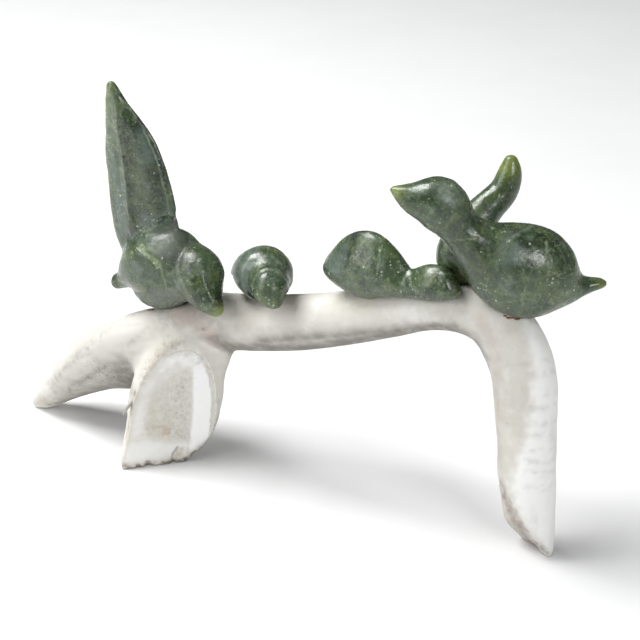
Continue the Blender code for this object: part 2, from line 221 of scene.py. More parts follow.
HUNCHED_NECK_LINE = ((411, 271), (412, 278), (412, 284), (411, 290))
HUNCHED_BEAK_LINE = ((444, 275), (446, 284), (450, 291))
HUNCHED_RUMP = ((325, 262), (336, 252), (346, 245), (344, 262), (338, 276), (328, 272))
HUNCHED_FACE = ((430, 273), (440, 270), (446, 280), (448, 290), (436, 290), (430, 282))
LARGE_WING_LINE = ((512, 236), (518, 231), (524, 228), (532, 225))
LARGE_SHOULDER_LINE = ((508, 236), (504, 247), (500, 257), (496, 263))
LARGE_CRACK_LINE = ((443, 239), (454, 240), (466, 240), (477, 238))
LARGE_VEINS = (((546, 240), (547, 256), (549, 272)), ((550, 296), (553, 302), (555, 308)),
               ((455, 197), (457, 201)), ((492, 227), (497, 231)))
# The large bird's head, with chalky specks and a painted highlight.
LARGE_CHALK_AND_HIGHLIGHT = ((434, 183), (450, 181), (462, 190), (463, 203), (452, 205), (440, 197))
LARGE_SHEEN_LINE = ((515, 248), (511, 256), (506, 262))
LARGE_CHEST_LINE = ((452, 232), (460, 248), (468, 270), (478, 292), (492, 306))
# Thin tips of each bird: pixel, reach in millimetres, strength
TIPS = {
    "raised_wing_bird": (((110, 83), 7, 0.5), ((220, 316), 8, 0.8), ((116, 283), 7, 0.3)),
    "small_bird": (((275, 309), 5, 0.2),),
    "hunched_bird": (((458, 293), 6, 0.3),),
    "large_bird": (((391, 189), 10, 0.7), ((604, 284), 7, 0.5)),
    "calling_bird": (((510, 158), 13, 1.0), ((456, 276), 6, 0.5)),
}


def colour_setting(name, description, default):
    """A colour that a user would change."""
    return bpy.props.FloatVectorProperty(name=name, description=description, subtype="COLOR", size=3,
                                         min=0, max=1, default=default)


def power_setting(name, description, default):
    """A light's power in watts."""
    return bpy.props.FloatProperty(name=name, description=description, subtype="POWER", unit="POWER",
                                   min=0, default=default)


class StoneSettings(bpy.types.PropertyGroup):
    """Colours of the polished stone."""

    # Also paints shade along the large bird's chest.
    deep: colour_setting("Deep green", "Darkest clouds in the stone", (0.010, 0.021, 0.009))
    body: colour_setting("Body green", "The stone's main colour", (0.040, 0.070, 0.030))
    pale: colour_setting("Pale green", "Light clouds and mottles", (0.140, 0.190, 0.100))
    tip: colour_setting("Thin stone", "Where light comes through a beak or a tip", (0.190, 0.240, 0.045))
    chalk: colour_setting("Specks", "Chalky specks and veins", (0.48, 0.55, 0.42))
    bruise: colour_setting("Chipped stone", "Bruised stone in chips and scratches", (0.230, 0.290, 0.160))
    # Also painted sheen and highlights: the first bird's saddle, the hunched bird's streak and the large
    # bird's wing crease.
    dull: colour_setting("Unpolished stone", "Sanded places that were never polished",
                         (0.150, 0.165, 0.145))
    moss: colour_setting("Moss green", "Yellowish mottles", (0.105, 0.140, 0.035))
    # Also painted sheen and highlights on the birds' wings, saddle, rump and head.
    haze: colour_setting("Gray haze", "Cool grayish clouds", (0.125, 0.165, 0.145))
    thin_below: bpy.props.FloatProperty(
        name="Thin below", description="Stone thinner than this shows light through it",
        subtype="DISTANCE", unit="LENGTH", min=0.001, default=0.008)


class AntlerSettings(bpy.types.PropertyGroup):
    """Colours of the antler."""

    body: colour_setting("Antler", "The antler's main colour", (0.62, 0.605, 0.555))
    # Also paints shade on the undersides and the first bird's shadow on the shoulder.
    shade: colour_setting("Grayed antler", "Weathered clouds and streaks", (0.31, 0.295, 0.265))
    white: colour_setting("Dense rim", "Scraped dense antler", (0.90, 0.905, 0.90))
    core: colour_setting("Spongy core", "The porous middle of the sawn leg", (0.58, 0.565, 0.50))
    stain: colour_setting("Stain", "Brown stains", (0.38, 0.28, 0.15))
    rose: colour_setting("Rosy stain", "Faint old blood colour", (0.50, 0.37, 0.32))
    # Also paints the shade on the undersides of the tine, legs and beam.
    grime: colour_setting("Grime", "Dark broken edges and pores", (0.060, 0.050, 0.036))


class StageSettings(bpy.types.PropertyGroup):
    """The floor and the lights."""

    floor: colour_setting("Floor", "Colour of the plain floor", (0.90, 0.90, 0.90))
    window_power: power_setting("Window light", "Power of the soft light from the left", 16.0)
    overhead_power: power_setting("Overhead light", "Power of the soft light from above", 54.0)
    front_power: power_setting("Front light", "Power of the soft light from the front right", 19.0)
    sky: bpy.props.FloatProperty(
        name="Sky", description="Strength of the even light all round", min=0, default=0.17)


def camera_turn():
    return Matrix.Rotation(math.pi / 2 - CAMERA_ELEVATION, 3, "X")


def camera_place():
    return CAMERA_AIM + camera_turn() @ Vector((0, 0, CAMERA_DISTANCE))


def seen_at(pixel, tree):
    """The point of a surface that the photograph shows at a pixel, or the nearest one beside it."""
    across, down = pixel
    half = FRAME_PIXELS / 2
    eye = camera_place()
    sight = (camera_turn() @ Vector((across - half, half - down, -FOCAL_PIXELS))).normalized()
    found = tree.ray_cast(eye, sight)[0]
    if found is None:
        found = CAMERA_AIM
        for _ in range(EDGE_STEPS):
            found = tree.find_nearest(eye + sight * (found - eye).dot(sight))[0]
    return np.array(found)


def traced(pixels, tree):
    """A line of pixels as closely spaced points on the surface."""
    path = []
    for (x0, y0), (x1, y1) in zip(pixels, pixels[1:]):
        count = max(1, round(math.hypot(x1 - x0, y1 - y0) / TRACE_STEP))
        path += [(x0 + (x1 - x0) * k / count, y0 + (y1 - y0) * k / count) for k in range(count)]
    path.append(pixels[-1])
    return np.array([seen_at(pixel, tree) for pixel in path])


def only(piece):
    """Makes the piece the one that operators act on."""
    bpy.ops.object.select_all(action="DESELECT")
    piece.select_set(True)
    bpy.context.view_layer.objects.active = piece


def apply_modifiers(piece):
    only(piece)
    for modifier in list(piece.modifiers):
        bpy.ops.object.modifier_apply(modifier=modifier.name)


def fine_copy(node, name, grain, softening):
    """A copy of a node with its facets rounded off and an even fine skin."""
    piece = bpy.data.objects.new(name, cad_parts[node].data.copy())
    bpy.context.scene.collection.objects.link(piece)
    piece.data.materials.clear()
    only(piece)
    bpy.ops.object.mode_set(mode="EDIT")
    bpy.ops.mesh.select_mode(type="EDGE")
    bpy.ops.mesh.select_all(action="SELECT")
    bpy.ops.mesh.remove_doubles(threshold=MERGE)
    bpy.ops.mesh.select_all(action="DESELECT")
    bpy.ops.mesh.edges_select_sharp(sharpness=SHARP_CUT)
    bpy.ops.transform.edge_crease(value=1)
    bpy.ops.object.mode_set(mode="OBJECT")
    rounded = piece.modifiers.new("Round facets", "SUBSURF")
    rounded.levels = FACET_LEVELS
    rounded.render_levels = FACET_LEVELS
    skin = piece.modifiers.new("Even skin", "REMESH")
    skin.mode = "VOXEL"
    skin.voxel_size = grain
    soften = piece.modifiers.new("Soften", "SMOOTH")
    soften.iterations = softening
    apply_modifiers(piece)
    bpy.ops.object.shade_smooth()
    return piece


def tree_of(piece):
    return BVHTree.FromObject(piece, bpy.context.evaluated_depsgraph_get())


def bell(distance, width):
    return np.exp(-(distance / width) ** 2)


def tent(distance, width):
    return np.clip(1 - distance / width, 0, 1)


def smooth_step(value, low, high):
    share = np.clip((value - low) / (high - low), 0, 1)
    return share * share * (3 - 2 * share)


class Skin:
    """A piece's points as arrays, to be worked with small relief and marked with values."""

    def __init__(self, piece):
        self.piece = piece
        self.tree = tree_of(piece)
        self.points = self.read("vertices", "co")
        self.normals = self.read("vertex_normals", "vector")
        self.marks = {}
        self.ragged = None      # noise that breaks marks up, set once the skin is worn
        edges = np.empty(len(piece.data.edges) * 2, int)
        piece.data.edges.foreach_get("vertices", edges)
        self.edges = edges.reshape(-1, 2)
        towards = np.array(camera_place()) - self.points
        towards /= np.linalg.norm(towards, axis=1)[:, None]
        self.facing_camera = smooth_step((self.normals * towards).sum(axis=1), -0.05, 0.15)

    def read(self, items, field):
        found = np.empty(len(self.piece.data.vertices) * 3)
        getattr(self.piece.data, items).foreach_get(field, found)
        return found.reshape(-1, 3)

    def line(self, pixels):
        return traced(pixels, self.tree)

    def off_line(self, line):
        """Each point's distance from a line on the surface."""
        nearest = np.full(len(self.points), np.inf)
        for start, end in zip(line, line[1:]):
            along = end - start
            share = np.clip((self.points - start) @ along / (along @ along), 0, 1)
            nearest = np.minimum(nearest, np.linalg.norm(self.points - start - share[:, None] * along,
                                                         axis=1))
        return nearest

    def near(self, pixels, width):
        """1 along a line of the photograph, fading out over a width in millimetres."""
        return bell(self.off_line(self.line(pixels)), width * MM)

    def ridge(self, pixels, width):
        """1 along a line of the photograph, falling evenly to 0 over a width in millimetres."""
        return tent(self.off_line(self.line(pixels)), width * MM)

    def patches(self, low, high):
        """0 to 1 in ragged patches, as the skin's ragged noise goes from one level to another."""
        return smooth_step(self.ragged, low, high)

    def zone(self, outline, soft, wobble=0.0):
        """1 inside an outline of the photograph, with an edge that is soft over some pixels."""
        local = (self.points - np.array(camera_place())) @ np.array(camera_turn())
        across = FRAME_PIXELS / 2 - FOCAL_PIXELS * local[:, 0] / local[:, 2]
        down = FRAME_PIXELS / 2 + FOCAL_PIXELS * local[:, 1] / local[:, 2]
        inside = np.zeros(len(across), bool)
        nearest = np.full(len(across), np.inf)
        for (x0, y0), (x1, y1) in zip(outline, outline[1:] + outline[:1]):
            if y0 != y1:
                crossing = (x1 - x0) * (down - y0) / (y1 - y0) + x0
                inside ^= ((y0 > down) != (y1 > down)) & (across < crossing)
            share = np.clip(((across - x0) * (x1 - x0) + (down - y0) * (y1 - y0))
                            / ((x1 - x0) ** 2 + (y1 - y0) ** 2), 0, 1)
            nearest = np.minimum(nearest, np.hypot(across - x0 - share * (x1 - x0),
                                                   down - y0 - share * (y1 - y0)))
        depth = np.where(inside, nearest, -nearest)
        if wobble:
            depth += wobble * self.clouds(WOBBLE_SIZE, WOBBLE_SEED)
        return smooth_step(depth, -soft, soft) * self.facing_camera

    def clouds(self, size, seed, run=None):
        """Smooth noise from -1 to 1 in patches of some millimetres, drawn out along a run."""
        places = self.points
        if run is not None:
            run = run / np.linalg.norm(run)
            places = places - (places @ run)[:, None] * run * (1 - 1 / GRAIN_STRETCH)
        places = places / (size * MM) + seed * np.array((1.0, 1.7, 2.3))
        return np.array([noise.noise(Vector(place)) for place in places])

    def push(self, height):
        """Raises each point along its normal, by millimetres."""
        self.points += self.normals * (height * MM)[:, None]

    def averaged(self, values, edges):
        """Each value's mean over the points that edges join to its point."""
        first, second = edges.T
        count = np.maximum(np.bincount(edges.ravel(), minlength=len(values)), 1)
        columns = []
        for column in values.reshape(len(values), -1).T:
            total = np.bincount(first, column[second], len(values))
            total += np.bincount(second, column[first], len(values))
            columns.append(total / count)
        return np.array(columns).T.reshape(values.shape)

    def relax(self, share, passes):
        """Wears the surface smooth where share is 1, and turns its normals to match."""
        worn = share > LEAST_WEAR
        held, edges = np.unique(self.edges[worn[self.edges].any(axis=1)], return_inverse=True)
        edges = edges.reshape(-1, 2)
        places = self.points[held]
        share = np.where(worn[held], share[held], 0)[:, None]
        for _ in range(passes):
            places += 0.5 * share * (self.averaged(places, edges) - places)
        self.points[held] = places
        mesh = self.piece.data
        mesh.vertices.foreach_set("co", self.points.ravel())
        mesh.update()
        self.normals = self.read("vertex_normals", "vector")

    def mark(self, name, values):
        """Keeps the greater of a mark's values so far and new ones."""
        self.marks[name] = np.maximum(self.marks.get(name, 0), values)

    def mark_line(self, name, amount, pixels, width, broken=None):
        """Marks a line of the photograph, left out in patches if two levels of raggedness are given."""
        values = amount * self.near(pixels, width)
        if broken:
            values = values * self.patches(*broken)
        self.mark(name, values)

    def finish(self):
        """Writes the moved points, and the marks as attributes that materials can read."""
        mesh = self.piece.data
        low, high = np.array(CAD_BOX)
        mesh.vertices.foreach_set("co", np.clip(self.points, low, high).ravel())
        mesh.update()
        for name, values in self.marks.items():
            attribute = mesh.attributes.new(name, "FLOAT", "POINT")
            attribute.data.foreach_set("value", np.clip(values, 0, 1).astype(np.float32))


def mark_thin_stone(skin, limit):
    """Marks how thin the stone is behind each point: 0 from the limit up, 1 at nothing."""
    depth = np.full(len(skin.points), limit)
    for i, (point, normal) in enumerate(zip(skin.points, skin.normals)):
        inward = Vector(-normal)
        hit = skin.tree.ray_cast(Vector(point) + inward * UNDER_SKIN, inward, limit)[3]
        if hit is not None:
            depth[i] = hit
    thin = 1 - depth / limit
    for _ in range(THIN_BLURS):
        thin = 0.5 * thin + 0.5 * skin.averaged(thin, skin.edges)
    skin.mark("thin", thin)


def relieve_antler(skin):
    """Works the antler's small relief and marks where it is white, spongy, stained and dirty, and where
    painted shade and a painted shadow darken it.
    """
    on_saw = smooth_step(skin.normals @ SAW_FACING, 0.975, 0.997)
    lip = np.maximum((skin.points - SAW_POINT) @ SAW_FACING, 0) * skin.near(SAW_TOP_LINE, 11.0)
    skin.points -= 0.9 * lip[:, None] * SAW_FACING
    skin.relax(skin.near(SAW_TOP_LINE, 6.0), 60)
    skin.relax(skin.near(LEG_CORNER_LINE, 9.0), 160)
    skin.relax(skin.near(LEG_CHIPPED_LINE, 4.0), 25)
    skin.ragged = skin.clouds(3.5, 21.0)
    broad = skin.clouds(7.0, 27.0)

    # Grain and lumps of the natural surface, and painted shade on faces that turn down
    off_saw = 1 - on_saw
    on_tine = smooth_step(-skin.points[:, 0], 0.105, 0.135) * off_saw
    on_leg = smooth_step(skin.points[:, 0], 0.115, 0.140) * smooth_step(-skin.points[:, 2], -0.14, -0.11)
    on_beam = np.clip(off_saw - on_tine - on_leg, 0, 1)
    grain = on_tine * skin.clouds(5.0, 3.0, TINE_RUN) + on_beam * skin.clouds(5.5, 6.0, BEAM_RUN)
    grain += on_leg * skin.clouds(6.0, 9.0, LEG_RUN)
    skin.push(off_saw * (0.40 * skin.clouds(24.0, 1.0) + 0.14 * skin.clouds(8.0, 5.0) + 0.22 * grain))
    skin.mark("shade", 0.35 * smooth_step(-grain, 0.10, 0.55) * on_tine)
    skin.mark("shade", 0.20 * smooth_step(-grain, 0.15, 0.60) * off_saw)
    # Painted shade: faces that turn down, off the floor, are marked to be darkened and grayed.
    off_floor = smooth_step(skin.points[:, 2], 0.003, 0.015)
    downward = -skin.normals[:, 2] + 0.10 * broad
    skin.mark("under", smooth_step(downward, 0.45, 0.90) * (on_tine + on_leg) * off_floor)
    skin.mark("under", smooth_step(downward, 0.10, 0.60) * on_beam)
    skin.mark("shade", 0.6 * smooth_step(downward, 0.0, 0.6) * off_saw * off_floor)

    # The sawn face: spongy core with pits, hard rim, crack and broken lower edge
    core = skin.zone(CORE, 5.0, 4.0) * on_saw
    core *= 1 - 0.7 * skin.near(CORE_TOP_LINE, 6.0)
    pitted = skin.zone(PITTED, 5.0) * on_saw
    pits = smooth_step(skin.clouds(1.9, 8.0), 0.22, 0.42) * np.maximum(pitted, 0.35 * core)
    skin.push(-core * (0.30 + 0.30 * skin.clouds(5.0, 4.0)) - 0.6 * pits)
    skin.push(0.16 * on_saw * skin.clouds(9.0, 15.0) + 0.08 * on_saw * skin.clouds(2.5, 18.0))
    skin.push(-0.4 * skin.near(CORE_STEP_LINE, 0.9))
    skin.mark("core", core)
    skin.mark("pits", 0.3 * pits)
    skin.mark("pepper", 0.18 * pitted + 0.08 * core)
    skin.mark("white", on_saw * skin.zone(RIGHT_RIM, 2.0, 1.5))
    skin.mark("white", 0.85 * skin.zone(TOP_RIM, 9.0, 5.0))
    skin.mark("white", 0.50 * on_saw * skin.zone(LEFT_RIM, 6.0, 3.0))
    skin.mark("white", 0.55 * on_saw * skin.zone(LOWER_RIM, 5.0, 3.0))
    skin.mark("white", 0.25 * on_saw)
    crack = skin.ridge(CRACK_LINE, 1.2)
    broken = skin.near(BROKEN_EDGE_LINE, 3.2) * skin.patches(-0.1, 0.5)
    bite = skin.near(EDGE_BITE, 1.8)
    skin.push(-1.4 * crack - 1.3 * broken - 1.6 * bite)
    skin.mark("grime", 0.6 * np.maximum(crack, bite))
    skin.mark_line("grime", 0.9, BROKEN_EDGE_LINE, 2.0, (-0.5, 0.2))
    skin.mark("stain", 0.45 * skin.zone(CRACK_POCKET, 2.0) + 0.35 * skin.near(BROKEN_EDGE_LINE, 4.0))

    # The right leg: beige and white halves, growth bands and a chipped edge
    skin.mark("white", 0.80 * skin.zone(LEG_WHITE, 8.0, 5.0))
    skin.mark("stain", 0.06 * skin.zone(LEG_BEIGE, 5.0, 3.0))
    for pixels in LEG_BANDS:
        band = skin.near(pixels, 2.2)
        skin.push(-0.25 * band)
        skin.mark("shade", 0.30 * band * smooth_step(skin.clouds(4.0, 25.0), -0.3, 0.3))
    skin.push(-0.35 * skin.near(LEG_CRACK_LINE, 0.8))
    chip = skin.zone(LEG_CHIP, 2.0, 2.0)
    scallops = smooth_step(broad, -0.2, 0.3)
    skin.push(-0.6 * chip - 1.3 * skin.near(LEG_CHIPPED_LINE, 4.0) * scallops)
    skin.push(-1.6 * skin.near(LEG_NOTCH_LINE, 1.8))
    skin.mark("shade", 0.70 * chip * skin.patches(-0.9, 0.3))
    skin.mark_line("grime", 0.45, LEG_CHIPPED_LINE, 3.6, (-1.0, 0.4))
    skin.mark_line("rose", 0.35, LEG_CHIPPED_LINE, 5.0)
    skin.mark_line("grime", 0.8, LEG_NOTCH_LINE, 2.0)
    skin.mark_line("rose", 0.25, LEG_LEFT_LINE, 4.0)
    skin.mark_line("shade", 0.25, LEG_LEFT_LINE, 6.0)

    # Stains, pores and dirt, with painted shade along the tine and the beam and the first bird's painted
    # shadow
    for pixels in DARK_STREAK_LINES:
        streak = skin.near(pixels, 2.2)
        skin.push(-0.25 * streak)
        skin.mark("shade", 0.45 * streak * skin.patches(-0.5, 0.4))
    skin.mark("pepper", 0.8 * skin.zone(TINE_SPOTS, 8.0))
    # Painted shade along the tine's lower edge.
    skin.mark_line("under", 0.8, TINE_UNDER_LINE, 2.6, (-0.7, 0.3))
    skin.mark_line("shade", 0.6, TINE_UNDER_LINE, 6.0)
    skin.mark_line("shade", 0.5, TINE_TOP_LINE, 3.0, (-0.4, 0.4))
    skin.mark("stain", 0.3 * skin.zone(TINE_TIP, 2.0))
    skin.mark_line("grime", 0.7, CROTCH_LINE, 1.1, (-0.4, 0.4))
    skin.mark_line("stain", 0.3, CROTCH_LINE, 2.5)
    skin.mark_line("stain", 0.7, YELLOW_DOTS_LINE, 1.5)
    skin.mark_line("stain", 0.35, BROWN_DOTS_LINE, 4.0, (-0.4, 0.4))
    skin.mark_line("pepper", 0.6, BROWN_DOTS_LINE, 4.5)
    skin.mark_line("pepper", 0.45, GRAY_DOTS_LINE, 4.5)
    # Painted shade along the beam's lower edge.
    skin.mark_line("under", 0.8, BEAM_UNDER_LINE, 3.5)
    skin.mark_line("shade", 0.5, BEAM_UNDER_LINE, 8.0)
    skin.mark_line("shade", 0.40, GRAY_DOTS_LINE, 5.0, (-0.4, 0.5))
    skin.mark_line("stain", 0.45, ORANGE_STAIN, 3.5, (-0.3, 0.4))
    skin.mark_line("stain", 0.18, BEIGE_STAIN, 5.0)
    skin.mark_line("rose", 0.6, ORANGE_STAIN, 3.0, (0.0, 0.4))
    skin.mark_line("rose", 0.40, ROSE_STAIN, 7.0)
    skin.mark_line("rose", 0.22, ROSE_BEAM_STAIN, 9.0)
    skin.mark_line("stain", 0.22, BROWN_BEAM_STAIN, 6.0)
    # Painted shadow of the first bird on the shoulder.
    skin.mark("shade", 0.75 * skin.near(SHADED_SHOULDER_LINE, 12.0) * off_saw)
    skin.push(-0.6 * skin.near(DARK_PORE, 0.7))
    skin.mark_line("grime", 0.9, DARK_PORE, 0.8)
    low = tent(skin.points[:, 2], 2.2 * MM) * (1 - smooth_step(-skin.normals[:, 2], 0.9, 0.99))
    skin.mark("grime", 0.45 * low * skin.patches(-0.5, 0.5))


def relieve_raised_wing_bird(skin):
    """The ridge and sunken panel of its wings, its head, its chipped flank and its rough base, with
    painted sheen on the wing and a painted reflection on the saddle of its back.
    """
    panel = skin.zone(WING_PANEL, 1.2, 0.8)
    skin.push(1.4 * skin.ridge(WING_RIDGE_LINE, 6) ** 1.4 - 1.2 * panel)
    worn = skin.near(WING_RIDGE_LINE, 1.6) * skin.patches(-0.8, 0.2)
    skin.mark("dull", 0.85 * worn)
    skin.mark_line("bruise", 0.55, WING_RIDGE_LINE[:7], 0.9, (-0.4, 0.4))
    skin.mark_line("bruise", 0.40, WING_ARCH_LINE, 0.9, (-0.4, 0.4))
    # Painted reflection: a gray sheen on the wing's narrow left side.
    skin.mark_line("haze", 0.6, WING_SIDE_LINE, 4.0)
    skin.mark("deep", 0.6 * panel)
    # Painted highlight: a soft sheen on the wing panel.
    skin.mark_line("haze", 0.8, WING_SHEEN_LINE, 4.5)
    skin.mark_line("moss", 0.9, WING_MOSS_LINE, 4.5, (-0.4, 0.2))
    skin.push(-1.0 * skin.near(WING_ROOT_LINE, 2.6))
    skin.mark_line("haze", 0.7, WING_ROOT_LINE, 4.0, (-0.6, 0.2))
    skin.mark_line("deep", 0.8, WING_ROOT_LINE, 7.0)
    for pixels in WING_SCRATCHES:
        scratch = skin.near(pixels, 0.7)
        skin.push(-0.15 * scratch)
        skin.mark("bruise", 0.75 * scratch * skin.patches(-0.4, 0.2))
    skin.push(-0.5 * skin.near(HEAD_CREASE_LINE, 2.2))
    skin.mark_line("dull", 0.4, HEAD_CREASE_LINE, 2.0)
    skin.push(0.7 * skin.ridge(BEAK_CREST_LINE, 4))
    skin.mark_line("bruise", 0.5, BEAK_CREST_LINE[2:], 0.6, (0.0, 0.4))
    chip = skin.zone(FLANK_CHIP, 1.0, 1.0)
    skin.push(-1.2 * chip * (1 + 0.8 * skin.ragged) - 0.5 * skin.near(FLANK_EDGE_LINE, 0.9))
    skin.mark("bruise", chip * (0.65 + 0.35 * skin.patches(-0.3, 0.3)))
    skin.mark_line("bruise", 0.45, FLANK_EDGE_LINE, 0.8)
    skin.mark_line("deep", 0.5, DARK_FLANK_LINE, 12.0)
    skin.mark_line("bruise", 0.8, CHEEK_SPECKS, 0.9, (0.0, 0.3))
    base = skin.zone(RAISED_BASE, 2.5, 2.0)
    skin.push(-0.35 * base * (1 + skin.ragged))
    # The base is unpolished; the saddle is matte stone with a painted reflection on it.
    skin.mark("dull", np.maximum(base, 0.75 * skin.zone(RAISED_SADDLE, 7.0)))


def relieve_small_bird(skin):
    """The crease round its head, its smoothed back, and a painted sheen on the saddle of its back."""
    skin.relax(skin.zone(SMALL_BACK, 4.0), 110)
    crease = skin.near(SMALL_CREASE_LINE, 1.5)
    skin.push(-0.7 * crease + 0.3 * skin.near(SMALL_CREASE_LINE, 3.5))
    skin.mark("bruise", 0.35 * crease * skin.patches(-0.1, 0.5))
    skin.mark_line("dull", 0.55, SMALL_CREASE_LINE, 1.6)
    # Painted sheen on the saddle of its back.
    skin.mark("haze", 0.8 * skin.zone(SMALL_SADDLE, 6.0))
    skin.mark_line("bruise", 0.8, SMALL_BEAK_SPECKS, 1.3, (0.1, 0.4))


def relieve_hunched_bird(skin):
    """The faint edges of its flank, its neck and its beak, a painted highlight along the streak of its
    flank and a painted sheen on its rump.
    """
    skin.push(0.5 * skin.ridge(HUNCHED_STREAK_LINE, 4))
    skin.push(0.5 * skin.ridge(HUNCHED_EDGE_LINE, 4))
    skin.push(-0.6 * skin.near(HUNCHED_NECK_LINE, 2.0))
    skin.push(0.6 * skin.ridge(HUNCHED_BEAK_LINE, 3))
    # Painted highlight along the streak's facet edge.
    skin.mark_line("dull", 0.45, HUNCHED_STREAK_LINE, 1.1)
    skin.mark_line("dull", 0.35, HUNCHED_CREASE_LINE, 0.9)
    # Painted sheen on the rump.
    skin.mark("haze", 0.8 * skin.zone(HUNCHED_RUMP, 6.0))
    skin.mark("bruise", 0.45 * skin.zone(HUNCHED_FACE, 4.0) * skin.patches(0.05, 0.5))


def relieve_large_bird(skin):
    """The crease of its wing, its fine crack and its chalky veins, with painted highlights on its head,
    wing and shoulder and painted shade along its chest.
    """
    skin.push(-0.8 * skin.near(LARGE_WING_LINE, 1.5) - 0.4 * skin.near(LARGE_SHOULDER_LINE, 2.0))
    skin.push(0.35 * skin.near(LARGE_SHEEN_LINE, 5.0))
    # Painted highlights: a light line along the wing crease and down the shoulder, and a bright spot on
    # the wing; the crease line also stands for unpolished stone.
    skin.mark_line("dull", 0.7, LARGE_WING_LINE, 1.6)
    skin.mark_line("haze", 0.9, LARGE_SHEEN_LINE, 3.5)
    skin.mark_line("haze", 0.6, LARGE_SHOULDER_LINE, 3.5)
    crack = skin.near(LARGE_CRACK_LINE, 0.6)
    skin.push(-0.2 * crack)
    skin.mark("bruise", 0.6 * crack * skin.patches(-0.3, 0.3))
    for pixels in LARGE_VEINS:
        skin.mark_line("bruise", 0.8, pixels, 1.0, (-0.2, 0.3))
    # Painted shade along the chest.
    skin.mark_line("deep", 1.0, LARGE_CHEST_LINE, 7.0)
    # Painted highlight on the head, over its real chalky specks.
    skin.mark("haze", 0.8 * skin.zone(LARGE_CHALK_AND_HIGHLIGHT, 6.0))
    skin.mark("bruise", 0.55 * skin.zone(LARGE_CHALK_AND_HIGHLIGHT, 6.0) * skin.patches(-0.3, 0.6))


BIRD_RELIEF = {
    "raised_wing_bird": relieve_raised_wing_bird,
    "small_bird": relieve_small_bird,
    "hunched_bird": relieve_hunched_bird,
    "large_bird": relieve_large_bird,
    "calling_bird": None,
}


class Nodes:
    """Adds and links nodes in a tree, column by column."""

    def __init__(self, tree):
        self.tree = tree
        self.count = 0

    def add(self, kind, values=None, **settings):
        node = self.tree.nodes.new(kind)
        node.location = (220 * (self.count // 4), -260 * (self.count % 4))
        self.count += 1
        for name, value in settings.items():
            setattr(node, name, value)
        for socket, value in (values or {}).items():
            if isinstance(value, bpy.types.NodeSocket):
                self.tree.links.new(value, node.inputs[socket])
            else:
                node.inputs[socket].default_value = value
        return node

    def mix(self, factor, under, over):
        """A colour between two others; any of the three may be a socket."""
        node = self.add("ShaderNodeMix", data_type="RGBA")
        for socket, value in (("Factor", factor), ("A", under), ("B", over)):
            places = [s for s in node.inputs if s.name == socket and s.enabled]
            if isinstance(value, bpy.types.NodeSocket):
                self.tree.links.new(value, places[0])
            elif socket == "Factor":
                places[0].default_value = value
            else:
                places[0].default_value = (*value, 1)
        return next(s for s in node.outputs if s.enabled)

    def math(self, operation, first, second=0.0, clamp=False):
        node = self.add("ShaderNodeMath", {0: first, 1: second}, operation=operation)
        node.use_clamp = clamp
        return node.outputs[0]

    def between(self, value, low, high, to_low=0.0, to_high=1.0):
        """Maps a value smoothly from low..high to to_low..to_high."""
        values = {"Value": value, "From Min": low, "From Max": high, "To Min": to_low,
                  "To Max": to_high}
        return self.add("ShaderNodeMapRange", values, interpolation_type="SMOOTHSTEP").outputs[0]

    def noise(self, where, scale, detail=4.0, roughness=0.55, distortion=0.0):
        values = {"Vector": where, "Scale": scale, "Detail": detail, "Roughness": roughness,
                  "Distortion": distortion}
        return self.add("ShaderNodeTexNoise", values).outputs[0]

    def shifted(self, where, step):
        """The same coordinates moved on, so that two patterns don't agree."""
        node = self.add("ShaderNodeVectorMath", {0: where, 1: (step, step * 1.7, step * 2.3)})
        return node.outputs[0]

    def attribute(self, name):
        return self.add("ShaderNodeAttribute", attribute_name=name).outputs["Fac"]


def effect(name, inputs, outputs):
    """An empty node group with named sockets, and its nodes' helper."""
    group = bpy.data.node_groups.new(name, "ShaderNodeTree")
    for label, kind, value in inputs:
        socket = group.interface.new_socket(label, in_out="INPUT", socket_type=kind)
        if value is not None:
            socket.default_value = value
    for label, kind in outputs:
        group.interface.new_socket(label, in_out="OUTPUT", socket_type=kind)
    nodes = Nodes(group)
    source = nodes.add("NodeGroupInput")
    target = nodes.add("NodeGroupOutput")
    return group, nodes, source.outputs, target.inputs


FLOAT = "NodeSocketFloat"
VECTOR = "NodeSocketVector"


def specks_effect():
    """Scattered specks of one size: a mask."""
    inputs = (("Vector", VECTOR, None), ("Scale", FLOAT, 300.0), ("Size", FLOAT, 0.2),
              ("Cover", FLOAT, 0.5))
    group, nodes, given, wanted = effect("Specks", inputs, (("Mask", FLOAT),))
    wobble = nodes.add("ShaderNodeTexNoise", {"Vector": given["Vector"], "Scale": 700.0})
    bent = nodes.add("ShaderNodeVectorMath", {0: wobble.outputs[1], 1: (0.0018, 0.0018, 0.0018)},
                     operation="MULTIPLY")
    where = nodes.add("ShaderNodeVectorMath", {0: given["Vector"], 1: bent.outputs[0]})
    cells = nodes.add("ShaderNodeTexVoronoi", {"Vector": where.outputs[0], "Scale": given["Scale"]})
    chosen = nodes.add("ShaderNodeSeparateColor", {"Color": cells.outputs["Color"]})
    reach = nodes.math("MULTIPLY", given["Size"], nodes.between(chosen.outputs[1], 0.0, 1.0, 0.3, 1.2))
    edge = nodes.math("SUBTRACT", reach, cells.outputs["Distance"])
    near = nodes.math("MULTIPLY", edge, 14.0, clamp=True)
    some = nodes.math("LESS_THAN", chosen.outputs[0], given["Cover"])
    group.links.new(nodes.math("MULTIPLY", near, some), wanted["Mask"])
    return group


